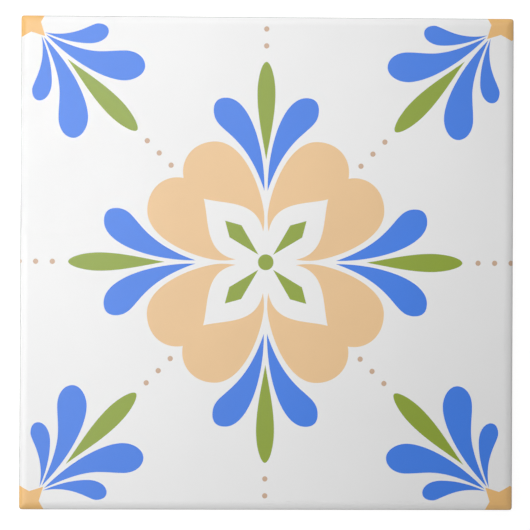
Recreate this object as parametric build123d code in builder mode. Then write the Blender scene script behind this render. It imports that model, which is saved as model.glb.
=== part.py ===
"""A square glazed wall tile with a cushion edge and a keyed back.

Millimetres, +Z up. The tile lies on its back with the glazed face up, centred on the Z axis.
"""

import os
from math import asin, degrees

from build123d import *

# Face and section
FACE_SIDE = 108.0  # edge to edge across the widest part
THICKNESS = 6.4  # from the ribs of the back to the face
CORNER_RADIUS = 0.5  # the four upright corners, seen from above
CUSHION_WIDTH = 1.9  # how far in from each side the face starts to roll over
CUSHION_DROP = 0.65  # how far below the face the roll has come down at the side
RIM_RADIUS = 0.4  # the tight end of the roll, where it meets the upright side
LAND_HEIGHT = 2.0  # upright band under the cushion, which faces the next tile
SIDE_LEAN = 0.15  # how far each side comes in between the land and the back
BACK_EDGE = 0.3  # broken edge round the back

# Keyed back, a grid of shallow pockets for the adhesive
POCKET_SIDE = 13.6  # at the mouth
POCKET_DEPTH = 0.8
POCKET_DRAFT = 25.0  # degrees by which the pocket walls lean outwards
POCKET_CORNER = 1.2
RIB_WIDTH = 2.4  # between two pockets
BACK_BORDER = 6.0  # the least plain width left round the grid

# Heights and widths that follow from these
half_side = FACE_SIDE / 2
flat_half = half_side - CUSHION_WIDTH
land_top = THICKNESS - CUSHION_DROP
land_foot = land_top - LAND_HEIGHT
past_side = half_side + CUSHION_WIDTH
above_face = THICKNESS + CUSHION_DROP

# Radius and angle of the broad arc that leaves the face level and runs smoothly into the rim
rim_inset = CUSHION_WIDTH - RIM_RADIUS
crown_radius = (rim_inset**2 + CUSHION_DROP**2 - RIM_RADIUS**2) / (2 * (CUSHION_DROP - RIM_RADIUS))
crown_angle = degrees(asin(rim_inset / (crown_radius - RIM_RADIUS)))

# Sides and counts of the back
lower_side = FACE_SIDE - 2 * SIDE_LEAN
back_side = lower_side - 2 * BACK_EDGE
pocket_pitch = POCKET_SIDE + RIB_WIDTH
pocket_count = int((back_side - 2 * BACK_BORDER + RIB_WIDTH) // pocket_pitch)

# What comes off one side to leave the cushion, run past both corners
with BuildPart() as cushion_waste:
    with BuildSketch(Plane.XZ):
        with BuildLine():
            rim = CenterArc((half_side - RIM_RADIUS, land_top), RIM_RADIUS, 0, 90 - crown_angle)
            crown_centre = (flat_half, THICKNESS - crown_radius)
            crown = CenterArc(crown_centre, crown_radius, 90 - crown_angle, crown_angle)
            clear_of_tile = ((flat_half, above_face), (past_side, above_face), (past_side, land_top))
            Polyline(crown @ 1, *clear_of_tile, rim @ 0)
        make_face()
    extrude(amount=past_side, both=True)

with BuildPart() as tile:
    # Lower body, which widens from the broken edge of the back up to the land
    for height, side in ((0, back_side), (BACK_EDGE, lower_side), (land_foot, FACE_SIDE)):
        with BuildSketch(Plane.XY.offset(height)) as outline:
            RectangleRounded(side, side, CORNER_RADIUS)
    loft(ruled=True)

    # Upper body, upright from the foot of the land, with the cushion along its four sides
    extrude(outline.sketch, amount=THICKNESS - land_foot)
    with PolarLocations(0, 4):
        add(cushion_waste.part, mode=Mode.SUBTRACT)

    # Pockets of the back
    with BuildSketch(Plane.XY):
        with GridLocations(pocket_pitch, pocket_pitch, pocket_count, pocket_count):
            RectangleRounded(POCKET_SIDE, POCKET_SIDE, POCKET_CORNER)
    extrude(amount=POCKET_DEPTH, taper=POCKET_DRAFT, mode=Mode.SUBTRACT)

tile.part.label = "tile"

os.makedirs("parts", exist_ok=True)
export_step(tile.part, "parts/tile.step")
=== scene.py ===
"""The looks of a square glazed tile.

A white cushion-edged face carries a printed floral ornament, the glaze ends in an uneven line low on
the sides, and the back is bare pressed clay with rows of shallow pockets.
Shapes are worked out in millimetres and become metres when the mesh is made.
"""
import math

import bpy
from mathutils import Euler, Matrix, Vector, kdtree, noise
from mathutils.geometry import delaunay_2d_cdt


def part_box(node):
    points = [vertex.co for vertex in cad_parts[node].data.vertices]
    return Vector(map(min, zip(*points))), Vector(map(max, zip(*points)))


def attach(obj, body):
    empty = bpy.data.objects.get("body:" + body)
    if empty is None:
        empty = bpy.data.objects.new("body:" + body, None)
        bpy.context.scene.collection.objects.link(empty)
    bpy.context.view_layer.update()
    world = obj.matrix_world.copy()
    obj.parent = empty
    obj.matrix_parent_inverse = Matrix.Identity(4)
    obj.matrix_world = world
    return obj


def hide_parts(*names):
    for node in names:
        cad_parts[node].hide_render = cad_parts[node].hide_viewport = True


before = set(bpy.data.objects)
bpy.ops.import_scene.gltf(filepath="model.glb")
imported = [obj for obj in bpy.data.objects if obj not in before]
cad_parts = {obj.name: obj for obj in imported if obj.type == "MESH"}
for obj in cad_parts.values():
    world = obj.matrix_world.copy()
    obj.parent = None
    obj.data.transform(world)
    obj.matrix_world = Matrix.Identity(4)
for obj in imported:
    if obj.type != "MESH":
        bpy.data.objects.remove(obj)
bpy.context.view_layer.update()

tile_low, tile_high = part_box("tile")

# Section of the tile
MILLIMETRE = 0.001
SIDE = (tile_high.x - tile_low.x) / MILLIMETRE
THICKNESS = (tile_high.z - tile_low.z) / MILLIMETRE
CUSHION_WIDTH = 1.9
CUSHION_DROP = 0.65
RIM_RADIUS = 0.4
CORNER_POWER = 8  # of the curve that joins two sides: the higher, the squarer the corner
LAND_HEIGHT = 2.0  # upright band under the cushion
SIDE_LEAN = 0.15  # how far each side comes in below the land
FOOT_HEIGHT = 0.35  # the rounded edge round the back
FOOT_WIDTH = 0.3
GLAZE_THICKNESS = 0.1
GLAZE_LINE = 1.75  # height at which the glaze ends on the sides, give or take its waves
GLAZE_WAVES = ((0.45, 17.0, 0.0), (0.2, 5.0, 9.0))  # height and length of each wave, and its noise layer
GLAZE_ROWS = (0.7, 0.3)  # heights over the glaze line of the rows that lead down to it
GLAZE_STEP = ((0.1, 0, "glaze"), (0.02, 0.3, "glaze"), (0, 0.8, "glaze"), (-0.01, 1, "clay"))
CLAY_ROWS = (0.25, 0.6)  # shares of the way from the glaze line to the foot
POCKET_SIDE = 13.6
POCKET_DEPTH = 0.8
POCKET_DRAFT = math.radians(25)
POCKET_CORNER = 1.2
POCKET_COUNT = 6
RIB_WIDTH = 2.4
SOFT_MOUTH = 0.2  # how far the worn edge of a pocket's mouth runs to each side
SOFT_FLOOR = 0.25  # the same for the fillet round a pocket's floor

# Fineness of the mesh
OUTLINE_STEP = 0.4
RING_STEPS = 8  # more steps for each circle, so that small ones stay round
FACE_STEP = 1.5
RIM_STEP = 1.0
CUSHION_STEPS = 12
CORNER_STEPS = 12
FOOT_STEPS = 5
SOFT_STEPS = 4
BACK_MARGIN = 2.0  # left free of loose points round the back
MERGE = 0.003  # points closer than this become one

# Colour map: the face and the back side by side, with the four sides as strips above them
MAP_MIDDLE = 0.38
MAP_HALF = 0.37
BACK_MAP_MIDDLE = 0.88
BACK_MAP_HALF = 0.11
STRIP_START = 0.01
STRIP_LENGTH = 0.95
STRIP_TOP = 0.99
STRIP_HEIGHT = 0.05
STRIP_PITCH = 0.057

# Print on the face: a drawing of a square repeat, a little off the middle and a little tall
PRINT_SHIFT = (-0.33, 0.22)
PRINT_STRETCH = (0.9976, 1.0145)
REPEAT = 54.0

# Colours, linear, and how far the tint of a glaze drifts
WHITE = (0.85, 0.85, 0.85)
INKS = {
    "blue": (0.021, 0.184, 0.779),
    "green": (0.240, 0.339, 0.003),
    "peach": (0.82, 0.54, 0.274),
    "amber": (0.84, 0.49, 0.165),
    "rose_brown": (0.58, 0.39, 0.265),
}
CLAY = (0.74, 0.66, 0.55)
SLOTS = ("glaze", *INKS, "clay")
WHITE_DRIFT = 0.012
INK_DRIFT = 0.025

# Darker band along the rim, partly thinned glaze and partly painted shade: its tints, and the slopes above
# and the depths below between which it fades
RIM_THIN_GLAZE_AND_SHADE = (0.74, 0.73, 0.71)
# Painted shade: the white glaze is darker along the upper and left rims
UPPER_LEFT_RIM_SHADE = (0.48, 0.48, 0.48)  # white glaze along the upper and left rims
RIM_DARK_SLOPES = (math.radians(19), math.radians(45))
RIM_DARK_DEPTHS = (-0.08, 0.15)  # from the top of the land

# Surfaces
GLAZE_ROUGHNESS = (0.12, 0.17)
CLAY_ROUGHNESS = (0.75, 0.95)
CLAY_BLOTCHES = (0.9, 1.08)
CLAY_SPECK = (0.86, 0.84, 0.8)
NO_TINT = (1.0, 1.0, 1.0)
REFRACTION = 1.5
NOISE_MIDDLE = (0.3, 0.7)  # the values that most of a noise lies between

# Camera and light: lengths in millimetres, places from the middle of the back
PICTURE_LENS = 100.0
CAMERA_AIM = (-0.476, -0.376, 5.75)
CAMERA_DISTANCE = 322.8
CAMERA_TURN = (0.165, -0.98, 0.253)  # degrees
SOFTBOX_HEIGHT = 483.0
SOFTBOX_LENGTH = 567.0
SOFTBOX_WIDTH = 780.0
SOFTBOX_REACH = 52.0
SOFTBOX_HEADING = math.radians(152)
SOFTBOX_FADE = (0.105, 0.95)  # shares of its length where it starts to glow and where it glows fully
SOFTBOX_SPREAD = math.radians(97.4)
SOFTBOX_RADIANCE = 1.306
KEY_DISTANCE = 345.0
KEY_LENGTH = 188.0
KEY_WIDTH = 122.0
KEY_AIM = (-17.5, 10.4)
KEY_HEADING = math.radians(143.2)
KEY_ZENITH = math.radians(64.5)
KEY_SPREAD = math.radians(19.6)
KEY_RADIANCE = 0.75
SURROUND_LEVEL = 0.117
FLOOR_REACH = 3000.0
FLOOR_GAP = 0.05
FLOOR_AS_SEEN = (0.25, 0.9)  # share of light thrown back, and glow
FLOOR_AS_LIGHT = (0.2, 0.62)

# What follows from these
half_side = SIDE / 2
flat_half = half_side - CUSHION_WIDTH
land_top = THICKNESS - CUSHION_DROP
land_foot = land_top - LAND_HEIGHT
rim_inset = CUSHION_WIDTH - RIM_RADIUS
crown_radius = (rim_inset ** 2 + CUSHION_DROP ** 2 - RIM_RADIUS ** 2) / (2 * (CUSHION_DROP - RIM_RADIUS))
crown_angle = math.asin(rim_inset / (crown_radius - RIM_RADIUS))
pocket_pitch = POCKET_SIDE + RIB_WIDTH


# Outlines of the ornament, in millimetres from the middle of the drawing

def cubic(start, first, second, end):
    """Points of a cubic curve after its start."""
    legs = ((start, first), (first, second), (second, end))
    length = sum(math.dist(a, b) for a, b in legs)
    steps = max(2, math.ceil(length / OUTLINE_STEP))
    points = []
    for step in range(1, steps + 1):
        t = step / steps
        weights = ((1 - t) ** 3, 3 * t * (1 - t) ** 2, 3 * t * t * (1 - t), t ** 3)
        corners = (start, first, second, end)
        points.append(tuple(sum(w * c[k] for w, c in zip(weights, corners)) for k in (0, 1)))
    return points


def outline(start, *pieces):
    """A line through corners, given as points, and cubic curves, given as two handles and an end."""
    points = [start]
    for piece in pieces:
        if len(piece) == 2:
            points.append(piece)
        else:
            points.extend(cubic(points[-1], *piece))
    return points


def loop(*line):
    """An outline that comes back to its start."""
    return outline(*line)[:-1]


def ring(radius, centre=(0.0, 0.0)):
    """Points of a circle."""
    steps = math.ceil(math.tau * radius / OUTLINE_STEP) + RING_STEPS
    angles = [math.tau * step / steps for step in range(steps)]
    return [(centre[0] + radius * math.cos(a), centre[1] + radius * math.sin(a)) for a in angles]


def folded_open(half):
    """A whole outline from the half that lies on one side of the diagonal."""
    return half + [(y, x) for x, y in reversed(half[1:-1])]


def leaf(length, half_width):
    """A slim leaf along +Y, from its point at the origin to its round end."""
    half = outline(
        (0, 0),
        ((0.36 * half_width, 0.21 * length), (half_width, 0.44 * length), (half_width, 0.675 * length)),
        ((half_width, 0.85 * length), (0.46 * half_width, length), (0, length)),
    )
    return half + [(-x, y) for x, y in reversed(half[1:-1])]


def turned(points, angle):
    cos, sin = math.cos(angle), math.sin(angle)
    return [(x * cos - y * sin, x * sin + y * cos) for x, y in points]


def moved(points, x, y):
    return [(px + x, py + y) for px, py in points]


def four_ways(points):
    """The outline at each quarter turn."""
    return [turned(points, quarter * math.pi / 2) for quarter in range(4)]


def eight_ways(points):
    """The outline and its mirror image at each quarter turn."""
    return four_ways(points) + four_ways([(-x, y) for x, y in points])


def middle_flower():
    """The green eye, four kites and four clover lobes with a petal-shaped hole between them."""
    eye = ring(1.71)
    kite = [(1.6, 1.6), (7.97, 5.37), (8.94, 8.94), (5.37, 7.97)]
    lobes = folded_open(outline(
        (18.1, 18.1),
        ((18.9, 22.4), (15.8, 26.0), (11.1, 26.0)),
        ((4.3, 26.0), (0.45, 14.0), (0.35, 9.8)),
        ((0.35, 8.6), (0.4, 7.6), (0.6, 6.6)),
        ((1.9, 13.5), (8.8, 12.4), (13.65, 13.65)),
    ))
    return [("green", [eye]), ("green", four_ways(kite)), ("peach", four_ways(lobes))]


def axis_sprays():
    """A leaf between two drop-shaped petals, on each of the four axes."""
    petal = loop(
        (0.35, 15.4),
        ((0.2, 24.4), (3.5, 35.47), (8.8, 35.47)),
        ((10.7, 35.47), (11.55, 34.5), (11.55, 32.8)),
        ((11.55, 27.7), (5.0, 29.1), (0.35, 15.4)),
    )
    leaf_foot = 22.1
    axis_leaf = moved(leaf(21.15, 1.97), 0, leaf_foot)
    return [("green", four_ways(axis_leaf)), ("blue", eight_ways(petal))]


def corner_sprays():
    """A leaf on the diagonal with a large and a small petal on each side, in each corner."""
    large = loop(
        (48.3, 48.8),
        ((44.6, 47.2), (40.4, 45.3), (36.3, 45.3)),
        ((34.2, 45.3), (33.0, 45.5), (31.0, 45.5)),
        ((28.4, 45.5), (26.6, 44.0), (26.6, 42.2)),
        ((26.6, 40.5), (28.7, 39.05), (31.1, 39.05)),
        ((35.4, 39.05), (42.6, 43.0), (48.3, 48.8)),
    )
    small = loop(
        (48.6, 49.3),
        ((42.0, 48.05), (38.5, 51.3), (36.9, 51.3)),
        ((35.4, 51.3), (34.6, 50.6), (34.6, 49.65)),
        ((34.6, 48.3), (36.2, 47.0), (38.8, 47.0)),
        ((41.8, 47.0), (45.0, 47.7), (48.6, 49.3)),
    )
    leaf_foot = 61.7
    diagonal_leaf = turned(moved(leaf(21.65, 2.02), 0, -leaf_foot), 0.75 * math.pi)
    petals = eight_ways(large) + eight_ways(small)
    return [("green", four_ways(diagonal_leaf)), ("blue", petals)]


def corner_stars():
    """An eight-pointed star round each corner of the repeat."""
    quarter = [(5.8, 0), (4.5, 2.4), (5.45, 5.45), (2.4, 4.5)]
    star = [point for part in four_ways(quarter) for point in part]
    inset = 0.07
    middle = REPEAT - inset
    return [("amber", four_ways(moved(star, middle, middle)))]


def dotted_lines():
    """Three dots on each axis and on each diagonal."""
    radius = 0.58
    axis_spacing = 3.65
    diagonal_start, diagonal_spacing = 20.83, 2.62
    axis_dots = [(0, REPEAT - axis_spacing * step) for step in range(3)]
    diagonal_dots = [(diagonal_start + diagonal_spacing * step,) * 2 for step in range(3)]
    dots = [ring(radius, centre) for centre in axis_dots + diagonal_dots]
    return [("rose_brown", [copy for dot in dots for copy in four_ways(dot)])]


def anticlockwise(points):
    following = points[1:] + points[:1]
    area = sum(ax * by - ay * bx for (ax, ay), (bx, by) in zip(points, following))
    return points if area > 0 else points[::-1]


def printed_outlines():
    """Every outline of the ornament with its ink, placed on the tile."""
    motifs = middle_flower() + axis_sprays() + corner_sprays() + corner_stars() + dotted_lines()
    for ink, outlines in motifs:
        for points in outlines:
            stretched = [(x * PRINT_STRETCH[0], y * PRINT_STRETCH[1]) for x, y in points]
            yield ink, anticlockwise(moved(stretched, *PRINT_SHIFT))


# Shape of the cushion edge

def past_flat(x, y):
    """How far a plan point lies past the flat of the face: along X, along Y and outwards."""
    across = max(0.0, abs(x) - flat_half)
    along = max(0.0, abs(y) - flat_half)
    reach = (across ** CORNER_POWER + along ** CORNER_POWER) ** (1 / CORNER_POWER)
    return across, along, min(reach, CUSHION_WIDTH)


def slope_at(reach):
    """The slope of the cushion at one distance past the flat: a broad crown, then a tight rim."""
    crown = math.asin(reach / crown_radius)
    if crown < crown_angle:
        return crown
    return math.asin(min(1.0, (reach - rim_inset) / RIM_RADIUS))


def reach_at(slope):
    """The distance past the flat at which the cushion has one slope."""
    if slope < crown_angle:
        return crown_radius * math.sin(slope)
    return rim_inset + RIM_RADIUS * math.sin(slope)


def face_point(x, y):
    slope = slope_at(past_flat(x, y)[2])
    if slope < crown_angle:
        return (x, y, THICKNESS - crown_radius * (1 - math.cos(slope)))
    return (x, y, land_top + RIM_RADIUS * math.cos(slope))


def face_normal(x, y):
    across, along, reach = past_flat(x, y)
    if reach == 0:
        return (0.0, 0.0, 1.0)
    slope = slope_at(reach)
    lean = [math.sin(slope) * (part / reach) ** (CORNER_POWER - 1) for part in (across, along)]
    return Vector((math.copysign(lean[0], x), math.copysign(lean[1], y), math.cos(slope))).normalized()


def cushion_ring(reach):
    """A closed line round the face, at one distance past its flat."""
    runs = math.ceil(2 * flat_half / RIM_STEP)
    points = [(flat_half + reach, flat_half * (2 * run / runs - 1)) for run in range(runs)]
    points.append((flat_half + reach, flat_half))
    for step in range(1, CORNER_STEPS if reach else 1):
        cos = math.cos(step * math.pi / 2 / CORNER_STEPS)
        sin = math.sin(step * math.pi / 2 / CORNER_STEPS)
        far = reach / (cos ** CORNER_POWER + sin ** CORNER_POWER) ** (1 / CORNER_POWER)
        points.append((flat_half + far * cos, flat_half + far * sin))
    if not reach:
        points.pop()
    return [point for side in four_ways(points) for point in side]


def rounded_square(half, radius, steps=6, runs=5):
    """A closed line round a square with round corners."""
    straight = half - radius
    points = [(half, straight * (2 * run / runs - 1)) for run in range(runs)]
    for step in range(steps):
        angle = step * math.pi / 2 / steps
        points.append((straight + radius * math.cos(angle), straight + radius * math.sin(angle)))
    return [point for side in four_ways(points) for point in side]


def scattered(half, spacing, clear_of):
    """Points on a triangular grid over a square, away from the points that are there already."""
    near = kdtree.KDTree(len(clear_of))
    for index, point in enumerate(clear_of):
        near.insert((*point, 0), index)
    near.balance()
    row_height = spacing * math.sqrt(3) / 2
    rows = int(half / row_height)
    columns = int(half / spacing)
    points = []
    for row in range(-rows, rows + 1):
        for column in range(-columns, columns + 1):
            x = (column + 0.5 * (row % 2)) * spacing
            point = (x, row * row_height)
            if abs(x) < half and near.find((*point, 0))[2] > 0.5 * spacing:
                points.append(point)
    return points


# Surface of the tile

class Skin:
    """The points and faces of the tile, with each face's slot and its place in the colour map."""

    def __init__(self):
        self.points = []
        self.normals = {}
        self.faces = []
        self.slots = []
        self.places = []

    def add_points(self, points):
        first = len(self.points)
        self.points.extend(points)
        return list(range(first, len(self.points)))

    def add_face(self, corners, slot, places):
        self.faces.append(corners)
        self.slots.append(SLOTS.index(slot))
        self.places.append(places)

    def make_mesh(self, name):
        mesh = bpy.data.meshes.new(name)
        mesh.from_pydata([Vector(p) * MILLIMETRE for p in self.points], [], self.faces)
        mesh.polygons.foreach_set("material_index", self.slots)
        mesh.polygons.foreach_set("use_smooth", [True] * len(self.faces))
        colour_map = mesh.uv_layers.new(name="OFBake")
        flat_places = [value for places in self.places for place in places for value in place]
        colour_map.data.foreach_set("uv", flat_places)
        normals = [self.normals.get(v.index, v.normal) for v in mesh.vertices]
        mesh.normals_split_custom_set_from_vertices(normals)
        return mesh


def face_place(x, y):
    """Where a point of the face goes in the colour map, with the cushion rolled out flat."""
    across, along, reach = past_flat(x, y)
    fall = THICKNESS - face_point(x, y)[2]
    roll = math.hypot(reach, fall) / reach if reach else 1.0
    whole = flat_half + math.hypot(CUSHION_WIDTH, CUSHION_DROP)
    flat = [min(abs(value), flat_half) + past * roll for value, past in ((x, across), (y, along))]
    signed = [math.copysign(far, value) for far, value in zip(flat, (x, y))]
    return tuple(MAP_MIDDLE + MAP_HALF * far / whole for far in signed)


def back_place(x, y):
    """Where a point of the back goes in the colour map."""
    return (BACK_MAP_MIDDLE + BACK_MAP_HALF * x / half_side, MAP_MIDDLE + MAP_HALF * y / half_side)


def add_printed_face(skin):
    """The glazed face, cut along every printed outline. Gives the points of its rim, in order."""
    points, edges, loops, inks = [], [], [], []

    def add_loop(line):
        first = len(points)
        points.extend(line)
        return list(range(first, len(points)))

    for step in range(CUSHION_STEPS):
        corners = add_loop(cushion_ring(reach_at(step * math.pi / 2 / CUSHION_STEPS)))
        edges.extend(zip(corners, corners[1:] + corners[:1]))
    loops.append(add_loop(cushion_ring(CUSHION_WIDTH)))
    for ink, line in printed_outlines():
        loops.append(add_loop(line))
        inks.append(ink)
    points.extend(scattered(flat_half - 0.5 * FACE_STEP, FACE_STEP, points))
    plan, _, cells, _, _, within = delaunay_2d_cdt(
        [Vector(p) for p in points], edges, loops, 0, MERGE, True)
    kept = [(cell, owners) for cell, owners in zip(cells, within) if 0 in owners]
    used = sorted({corner for cell, _ in kept for corner in cell})
    here = dict(zip(used, skin.add_points([face_point(*plan[c]) for c in used])))
    for corner in used:
        skin.normals[here[corner]] = face_normal(*plan[corner])
    directed = set()
    for cell, owners in kept:
        printed = [inks[owner - 1] for owner in owners if owner]
        slot = printed[-1] if printed else "glaze"
        skin.add_face([here[c] for c in cell], slot, [face_place(*plan[c]) for c in cell])
        directed.update((here[a], here[b]) for a, b in zip(cell, cell[1:] + cell[:1]))
    rim_step = {a: b for a, b in directed if (b, a) not in directed}
    rim = [min(rim_step)]
    while rim_step[rim[-1]] != rim[0]:
        rim.append(rim_step[rim[-1]])
    return rim


def side_section(x, y):
    """Rows down the side at one place of the rim: height, distance in from the rim, and slot below.

    The glaze ends in a small rounded step, whose rows have a height over the glaze line and a share of
    the glaze's thickness.
    """
    line = GLAZE_LINE
    for height, length, layer in GLAZE_WAVES:
        line += height * noise.noise(Vector((x, y, layer)) / length)
    land_middle = (land_top + land_foot) / 2

    def lean(height):
        return SIDE_LEAN * max(0.0, land_foot - height) / land_foot

    even_heights = [land_top, land_middle, land_foot] + [line + over_line for over_line in GLAZE_ROWS]
    rows = [(height, lean(height), "glaze") for height in even_heights]
    for over_line, share, slot in GLAZE_STEP:
        rows.append((line + over_line, lean(line) + share * GLAZE_THICKNESS, slot))
    for share in CLAY_ROWS:
        height = line + (FOOT_HEIGHT - line) * share
        rows.append((height, lean(height) + GLAZE_THICKNESS, "clay"))
    foot = lean(FOOT_HEIGHT) + GLAZE_THICKNESS
    for step in range(FOOT_STEPS + 1):
        angle = step * math.pi / 2 / FOOT_STEPS
        height = FOOT_HEIGHT * (1 - math.sin(angle))
        rows.append((height, foot + FOOT_WIDTH * (1 - math.cos(angle)), "clay"))
    return rows


def drawn_in(x, y, depth):
    """A rim point moved in from the side, so that the corners stay round."""
    share = 1 - depth / CUSHION_WIDTH
    across, along, _ = past_flat(x, y)
    return tuple(
        math.copysign(min(abs(value), flat_half) + past * share, value)
        for value, past in ((x, across), (y, along))
    )


def add_sides(skin, rim):
    """The sides, from the rim of the face down to the back. Gives the points of the lowest row."""
    plan = [skin.points[corner][:2] for corner in rim]
    sections = [side_section(x, y) for x, y in plan]
    rows = [rim]
    for row in range(1, len(sections[0])):
        made = []
        for (x, y), section in zip(plan, sections):
            height, depth, _ = section[row]
            made.append((*drawn_in(x, y, depth), height))
        rows.append(skin.add_points(made))
    travel = [0.0]
    for here, there in zip(plan, plan[1:] + plan[:1]):
        travel.append(travel[-1] + math.dist(here, there))
    strips = 4
    strip_length = travel[-1] / strips
    for column in range(len(rim)):
        after = (column + 1) % len(rim)
        strip = min(strips - 1, int(travel[column] / strip_length))
        shares = [travel[c] / strip_length - strip for c in (column, column + 1)]
        near, far = (STRIP_START + STRIP_LENGTH * share for share in shares)
        strip_top = STRIP_TOP - STRIP_PITCH * strip
        for row in range(len(rows) - 1):
            high, low = (strip_top - STRIP_HEIGHT * r / len(rows) for r in (row, row + 1))
            corners = [rows[row][column], rows[row + 1][column], rows[row + 1][after], rows[row][after]]
            places = [(near, high), (near, low), (far, low), (far, high)]
            skin.add_face(corners, sections[column][row][2], places)
    return rows[-1]


def pocket_section():
    """Rows from a pocket's soft mouth to its floor: distance in from the mouth, and height."""
    slope = (math.sin(POCKET_DRAFT), math.cos(POCKET_DRAFT))
    floor = (POCKET_DEPTH * math.tan(POCKET_DRAFT), POCKET_DEPTH)

    def soft_corner(*corners):
        rows = []
        for step in range(SOFT_STEPS + 1):
            t = step / SOFT_STEPS
            weights = ((1 - t) ** 2, 2 * t * (1 - t), t * t)
            rows.append(tuple(sum(w * p[k] for w, p in zip(weights, corners)) for k in (0, 1)))
        return rows

    mouth_rows = soft_corner((-SOFT_MOUTH, 0), (0, 0), (SOFT_MOUTH * slope[0], SOFT_MOUTH * slope[1]))
    before = (floor[0] - SOFT_FLOOR * slope[0], floor[1] - SOFT_FLOOR * slope[1])
    return mouth_rows + soft_corner(before, floor, (floor[0] + SOFT_FLOOR, floor[1]))


def add_back(skin, foot):
    """The bare back: ribs between pockets, the pockets' walls and their floors."""
    section = pocket_section()
    span = (POCKET_COUNT - 1) / 2 * pocket_pitch
    centres = [span - step * pocket_pitch for step in range(POCKET_COUNT)]
    plan = [skin.points[corner][:2] for corner in foot]
    owned = list(foot)
    loops = [list(range(len(foot)))]
    for x in centres:
        for y in centres:
            rows = []
            for depth, height in section:
                line = rounded_square(POCKET_SIDE / 2 - depth, POCKET_CORNER - depth)
                rows.append(skin.add_points([(px + x, py + y, height) for px, py in line]))
            for outer, inner in zip(rows, rows[1:]):
                for step in range(len(outer)):
                    after = (step + 1) % len(outer)
                    corners = [outer[step], inner[step], inner[after], outer[after]]
                    skin.add_face(corners, "clay", [back_place(*skin.points[c][:2]) for c in corners])
            for row in (rows[0], rows[-1]):
                loops.append(list(range(len(plan), len(plan) + len(row))))
                plan.extend(skin.points[corner][:2] for corner in row)
                owned.extend(row)
    extra = scattered(half_side - BACK_MARGIN, 2 * FACE_STEP, plan)
    points, _, cells, sources, _, within = delaunay_2d_cdt(
        [Vector(p) for p in plan + extra], [], loops, 0, MERGE, True)
    place = {}
    for index, source in enumerate(sources):
        known = [s for s in source if s < len(owned)]
        if known:
            place[index] = owned[known[0]]
    for cell, owners in zip(cells, within):
        pockets = [owner for owner in owners if owner]
        if 0 not in owners or len(pockets) == 1:
            continue
        height = POCKET_DEPTH if pockets else 0.0
        for corner in cell:
            if corner not in place:
                place[corner] = skin.add_points([(*points[corner], height)])[0]
        corners = [place[c] for c in reversed(cell)]
        skin.add_face(corners, "clay", [back_place(*skin.points[c][:2]) for c in corners])


# Materials

def node(tree, kind, inputs=(), **settings):
    """A new node with its settings, and with inputs that are numbers, colours or other nodes' outputs."""
    made = tree.nodes.new(kind)
    for name, value in settings.items():
        setattr(made, name, value)
    for name, value in dict(inputs).items():
        if isinstance(value, bpy.types.NodeSocket):
            tree.links.new(value, made.inputs[name])
        else:
            made.inputs[name].default_value = value
    return made


def blank(name):
    material = bpy.data.materials.new(name)
    material.use_nodes = True
    material.node_tree.nodes.clear()
    return material, material.node_tree


def grain(tree, place, size, detail=2.0):
    """A noise whose features are about that many millimetres across."""
    scale = 1 / (size * MILLIMETRE)
    made = node(tree, "ShaderNodeTexNoise", {"Vector": place, "Scale": scale, "Detail": detail})
    return made.outputs["Fac"]


def ramp(tree, value, low, high):
    """A colour that runs from low to high as the value runs over the middle of a noise."""
    made = node(tree, "ShaderNodeValToRGB", {"Fac": value})
    for stop, position, colour in zip(made.color_ramp.elements, NOISE_MIDDLE, (low, high)):
        stop.position = position
        stop.color = (*colour, 1)
    return made.outputs["Color"]


def span(tree, value, low, high):
    """A number that runs from low to high as the value runs over the middle of a noise."""
    limits = {"From Min": NOISE_MIDDLE[0], "From Max": NOISE_MIDDLE[1], "To Min": low, "To Max": high}
    return node(tree, "ShaderNodeMapRange", {"Value": value, **limits}).outputs["Result"]


def scaled(colour, factor):
    return tuple(part * factor for part in colour)


def surfaced(tree, colour, roughness, bumps, strength, bump_height):
    """Ends a material in a shader with that colour and roughness, and with bumps some millimetres high."""
    relief = {"Height": bumps, "Strength": strength, "Distance": bump_height * MILLIMETRE}
    normal = node(tree, "ShaderNodeBump", relief).outputs["Normal"]
    looks = {"Base Color": colour, "Roughness": roughness, "Normal": normal, "IOR": REFRACTION}
    shader = node(tree, "ShaderNodeBsdfPrincipled", looks)
    node(tree, "ShaderNodeOutputMaterial", {"Surface": shader.outputs["BSDF"]})


def rim_darkening(tree, place, darkest_tint):
    """A tint that darkens the glaze along the rim and the top of the land: partly thinned glaze, partly
    painted shade.
    """
    height = node(tree, "ShaderNodeSeparateXYZ", {"Vector": place}).outputs["Z"]
    limits = {"Value": height, "From Min": land_foot * MILLIMETRE, "From Max": THICKNESS * MILLIMETRE}
    share = node(tree, "ShaderNodeMapRange", limits).outputs["Result"]
    made = node(tree, "ShaderNodeValToRGB", {"Fac": share})
    stops = made.color_ramp.elements
    dark_top = land_top + RIM_RADIUS * math.cos(RIM_DARK_SLOPES[1])
    full_top = land_top + RIM_RADIUS * math.cos(RIM_DARK_SLOPES[0])
    dark_foot, full_foot = (land_top - depth for depth in RIM_DARK_DEPTHS)
    places = ((full_foot, NO_TINT), (dark_foot, darkest_tint), (dark_top, darkest_tint), (full_top, NO_TINT))
    while len(stops) < len(places):
        stops.new(1.0)
    for stop, (level, colour) in zip(stops, places):
        stop.position = (level - land_foot) / (THICKNESS - land_foot)
        stop.color = (*colour, 1)
    return made.outputs["Color"]


def upper_left_shade_mask(tree, place):
    """A number that is 1 along the upper and left rims and 0 over the rest of the tile: where painted
    shade goes.
    """
    along = node(tree, "ShaderNodeSeparateXYZ", {"Vector": place}).outputs
    inner, outer = flat_half * MILLIMETRE, (half_side - RIM_RADIUS) * MILLIMETRE
    left = node(tree, "ShaderNodeMapRange", {"Value": along["X"], "From Min": -inner, "From Max": -outer})
    upper = node(tree, "ShaderNodeMapRange", {"Value": along["Y"], "From Min": inner, "From Max": outer})
    either = node(tree, "ShaderNodeMath", operation="MAXIMUM")
    tree.links.new(left.outputs["Result"], either.inputs[0])
    tree.links.new(upper.outputs["Result"], either.inputs[1])
    return either.outputs[0]


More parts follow.
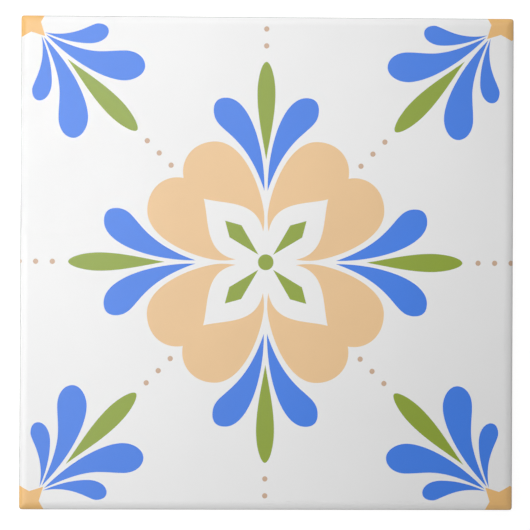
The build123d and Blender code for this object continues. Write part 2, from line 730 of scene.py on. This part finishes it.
def multiplied(tree, first, second):
    inputs = {"Fac": 1.0, "Color1": first, "Color2": second}
    return node(tree, "ShaderNodeMixRGB", inputs, blend_type="MULTIPLY").outputs["Color"]


def glazed(name, colour, drift, upper_left_rim_shade):
    """A smooth, glossy glaze whose tint drifts a little and whose surface is faintly wavy.

    The last value is painted shade that darkens it along the upper and left rims.
    """
    material, tree = blank(name)
    place = node(tree, "ShaderNodeTexCoord").outputs["Object"]
    clouds = grain(tree, place, size=18.0, detail=4.0)
    tint = ramp(tree, clouds, scaled(colour, 1 - drift), scaled(colour, 1 + drift))
    # Darker along every rim, partly thinned glaze and partly painted shade; the white glaze has painted
    # shade along its upper and left rims instead
    tints = {"Color1": rim_darkening(tree, place, RIM_THIN_GLAZE_AND_SHADE), "Color2": rim_darkening(tree, place, upper_left_rim_shade)}
    rims = node(tree, "ShaderNodeMixRGB", {"Fac": upper_left_shade_mask(tree, place), **tints})
    tint = multiplied(tree, tint, rims.outputs["Color"])
    roughness = span(tree, grain(tree, place, size=6.0), *GLAZE_ROUGHNESS)
    waves = grain(tree, place, size=9.0, detail=0.0)
    surfaced(tree, tint, roughness, waves, strength=0.12, bump_height=0.03)
    return material


def bare_clay(name, colour):
    """Fired clay: matt, grainy and a little blotchy."""
    material, tree = blank(name)
    place = node(tree, "ShaderNodeTexCoord").outputs["Object"]
    darker, lighter = (scaled(colour, share) for share in CLAY_BLOTCHES)
    blotches = ramp(tree, grain(tree, place, size=7.0, detail=6.0), darker, lighter)
    specks = ramp(tree, grain(tree, place, size=0.5, detail=3.0), CLAY_SPECK, NO_TINT)
    tint = multiplied(tree, blotches, specks)
    roughness = span(tree, grain(tree, place, size=1.5), *CLAY_ROUGHNESS)
    grit = grain(tree, place, size=0.7, detail=5.0)
    surfaced(tree, tint, roughness, grit, strength=0.5, bump_height=0.12)
    return material


def seen_directly(tree):
    """1 where a camera, glossy or transmission ray looks, and 0 where light is gathered."""
    path = node(tree, "ShaderNodeLightPath").outputs
    first = node(tree, "ShaderNodeMath", operation="MAXIMUM")
    tree.links.new(path["Is Camera Ray"], first.inputs[0])
    tree.links.new(path["Is Glossy Ray"], first.inputs[1])
    second = node(tree, "ShaderNodeMath", operation="MAXIMUM")
    tree.links.new(first.outputs[0], second.inputs[0])
    tree.links.new(path["Is Transmission Ray"], second.inputs[1])
    return second.outputs[0]


def mixed(tree, factor, first, second):
    made = node(tree, "ShaderNodeMixShader")
    for socket, value in zip(made.inputs, (factor, first, second)):
        tree.links.new(value, socket)
    return made.outputs[0]


def lit_and_glowing(tree, grey, strength):
    """A matt grey that also gives off some light of its own."""
    matt = node(tree, "ShaderNodeBsdfDiffuse", {"Color": (grey, grey, grey, 1)})
    glow = node(tree, "ShaderNodeEmission", {"Strength": strength})
    both = node(tree, "ShaderNodeAddShader")
    tree.links.new(matt.outputs[0], both.inputs[0])
    tree.links.new(glow.outputs[0], both.inputs[1])
    return both.outputs[0]


def pale_floor(name):
    """A floor that looks white, keeps a faint shadow and throws back plain light."""
    material, tree = blank(name)
    as_light = lit_and_glowing(tree, *FLOOR_AS_LIGHT)
    as_seen = lit_and_glowing(tree, *FLOOR_AS_SEEN)
    look = mixed(tree, seen_directly(tree), as_light, as_seen)
    node(tree, "ShaderNodeOutputMaterial", {"Surface": look})
    return material


# The tile

def make_tile():
    """One closed skin over the face, the sides and the back, with a material for each slot."""
    skin = Skin()
    rim = add_printed_face(skin)
    foot = add_sides(skin, rim)
    add_back(skin, foot)
    mesh = skin.make_mesh("printed_tile")
    # The white glaze carries painted shade along its upper and left rims
    mesh.materials.append(glazed("glaze", WHITE, WHITE_DRIFT, UPPER_LEFT_RIM_SHADE))
    for name, colour in INKS.items():
        mesh.materials.append(glazed(name, colour, INK_DRIFT, RIM_THIN_GLAZE_AND_SHADE))
    mesh.materials.append(bare_clay("clay", CLAY))
    tile = bpy.data.objects.new("printed_tile", mesh)
    bpy.context.scene.collection.objects.link(tile)
    return tile


# Stage, light and camera

def make_floor():
    """A plain floor just under the tile."""
    mesh = bpy.data.meshes.new("floor")
    square = four_ways([(-FLOOR_REACH, -FLOOR_REACH)])
    corners = [Vector((x, y, -FLOOR_GAP)) * MILLIMETRE for corner in square for x, y in corner]
    mesh.from_pydata(corners, [], [(0, 1, 2, 3)])
    mesh.materials.append(pale_floor("floor"))
    floor = bpy.data.objects.new("floor", mesh)
    bpy.context.scene.collection.objects.link(floor)
    return floor


def make_surroundings():
    """White to look at, and a plain even light from all sides."""
    world = bpy.data.worlds.new("surroundings")
    world.use_nodes = True
    tree = world.node_tree
    tree.nodes.clear()
    light = node(tree, "ShaderNodeBackground", {"Color": (1, 1, 1, 1), "Strength": SURROUND_LEVEL})
    white = node(tree, "ShaderNodeBackground", {"Color": (1, 1, 1, 1), "Strength": 1.0})
    look = mixed(tree, seen_directly(tree), light.outputs[0], white.outputs[0])
    node(tree, "ShaderNodeOutputWorld", {"Surface": look})
    bpy.context.scene.world = world


def panel(name, length, width, radiance):
    """A flat lamp that the camera doesn't see, with its lamp data."""
    light = bpy.data.lights.new(name, "AREA")
    light.shape = "RECTANGLE"
    light.size = length * MILLIMETRE
    light.size_y = width * MILLIMETRE
    light.energy = radiance * math.pi * light.size * light.size_y
    lamp = bpy.data.objects.new(name, light)
    lamp.visible_camera = False
    bpy.context.scene.collection.objects.link(lamp)
    return lamp, light


def towards(heading):
    """A level direction, from its angle to the X axis."""
    return Vector((math.cos(heading), math.sin(heading), 0))


def make_softbox():
    """A feathered panel over the upper left of the tile, brightest at its outer end."""
    softbox, light = panel("softbox", SOFTBOX_LENGTH, SOFTBOX_WIDTH, SOFTBOX_RADIANCE)
    light.spread = SOFTBOX_SPREAD
    light.use_nodes = True
    tree = light.node_tree
    tree.nodes.clear()
    place = node(tree, "ShaderNodeNewGeometry").outputs["Parametric"]
    along = node(tree, "ShaderNodeSeparateXYZ", {"Vector": place}).outputs["X"]
    limits = {"Value": along, "From Min": SOFTBOX_FADE[0], "From Max": SOFTBOX_FADE[1]}
    fade = node(tree, "ShaderNodeMapRange", limits, interpolation_type="SMOOTHSTEP")
    glow = node(tree, "ShaderNodeEmission", {"Strength": fade.outputs["Result"]})
    node(tree, "ShaderNodeOutputLight", {"Surface": glow.outputs[0]})
    middle = SOFTBOX_REACH * towards(SOFTBOX_HEADING) + Vector((0, 0, SOFTBOX_HEIGHT))
    softbox.location = middle * MILLIMETRE
    softbox.rotation_euler = (0, 0, SOFTBOX_HEADING)


def make_key():
    """A gridded panel from the upper left, whose beam fades to the lower right and leaves no glare."""
    key, light = panel("key", KEY_LENGTH, KEY_WIDTH, KEY_RADIANCE)
    key.visible_glossy = False
    light.spread = KEY_SPREAD
    way = math.sin(KEY_ZENITH) * towards(KEY_HEADING) + Vector((0, 0, math.cos(KEY_ZENITH)))
    aim = Vector((*KEY_AIM, THICKNESS))
    key.location = (aim + KEY_DISTANCE * way) * MILLIMETRE
    key.rotation_euler = way.to_track_quat("Z", "Y").to_euler()


def make_camera():
    """Almost straight above the tile, turned as the picture is."""
    lens = bpy.data.cameras.new("camera")
    lens.lens = PICTURE_LENS
    camera = bpy.data.objects.new("camera", lens)
    turn = Euler([math.radians(angle) for angle in CAMERA_TURN])
    back = turn.to_matrix() @ Vector((0, 0, CAMERA_DISTANCE))
    camera.location = (Vector(CAMERA_AIM) + back) * MILLIMETRE
    camera.rotation_euler = turn
    bpy.context.scene.collection.objects.link(camera)
    bpy.context.scene.camera = camera


tile = make_tile()
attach(tile, "root")
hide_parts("tile")
make_floor()
make_surroundings()
make_softbox()
make_key()
make_camera()
bpy.context.scene.view_settings.view_transform = "Standard"
